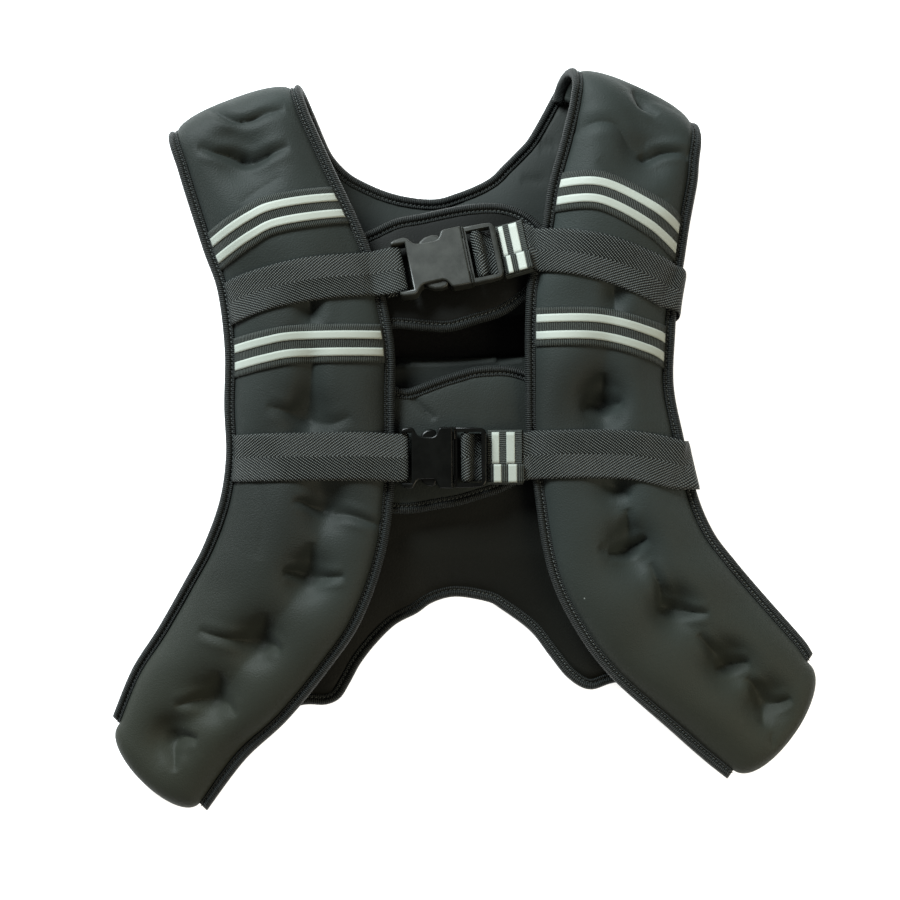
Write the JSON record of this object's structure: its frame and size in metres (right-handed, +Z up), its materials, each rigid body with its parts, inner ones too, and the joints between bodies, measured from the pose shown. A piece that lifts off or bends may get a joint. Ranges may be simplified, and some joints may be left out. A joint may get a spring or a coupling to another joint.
{
  "type": "weighted vest",
  "caption": "Padded weighted vest lying flat on its back, front up: two long filled front pads, back panel, bound edges, reflective bands, webbing straps fastened with side-release buckles.",
  "frame": {"origin": "on the floor, under the middle of the vest as it lies flat", "axes": "+Z up from the floor towards the front pads, +Y towards the neck, +X towards the pad that carries the keepers"},
  "size_m": [0.4609, 0.4825, 0.0583],
  "materials": {
    "neoprene": "fine knit face on padded neoprene, dark grey",
    "back_neoprene": "fine knit face on padded neoprene, dark grey",
    "tape": "ribbed edge tape, matt",
    "webbing": "herringbone webbing, matt",
    "elastic": "ribbed elastic tape, matt",
    "reflective": "silver retroreflective tape",
    "satin_plastic": "satin dark grey moulding",
    "black_plastic": "black moulding, slight sheen"
  },
  "bodies": {
    "root": {"pad_left": "neoprene", "binding_left_outer": "tape", "binding_left_inner": "tape", "pad_right": "neoprene", "binding_right_outer": "tape", "binding_right_inner": "tape", "back_panel": "back_neoprene", "binding_neckline": "tape", "binding_back": "tape", "flap_upper": "back_neoprene", "flap_upper_top_binding": "tape", "flap_upper_bottom_binding": "tape", "flap_lower": "back_neoprene", "flap_lower_top_binding": "tape", "flap_lower_bottom_binding": "tape", "band_upper_left": "elastic", "stripe_upper_left_a": "reflective", "stripe_upper_left_b": "reflective", "band_lower_left": "elastic", "stripe_lower_left_a": "reflective", "stripe_lower_left_b": "reflective", "band_upper_right": "elastic", "stripe_upper_right_a": "reflective", "stripe_upper_right_b": "reflective", "band_lower_right": "elastic", "stripe_lower_right_a": "reflective", "stripe_lower_right_b": "reflective", "buckle_upper_female": "satin_plastic", "buckle_upper_male": "satin_plastic", "webbing_upper_left": "webbing", "webbing_upper_right": "webbing", "keeper_upper": "elastic", "buckle_lower_female": "black_plastic", "buckle_lower_male": "black_plastic", "webbing_lower_left": "webbing", "webbing_lower_right": "webbing", "keeper_lower": "elastic"}
  },
  "joints": []
}
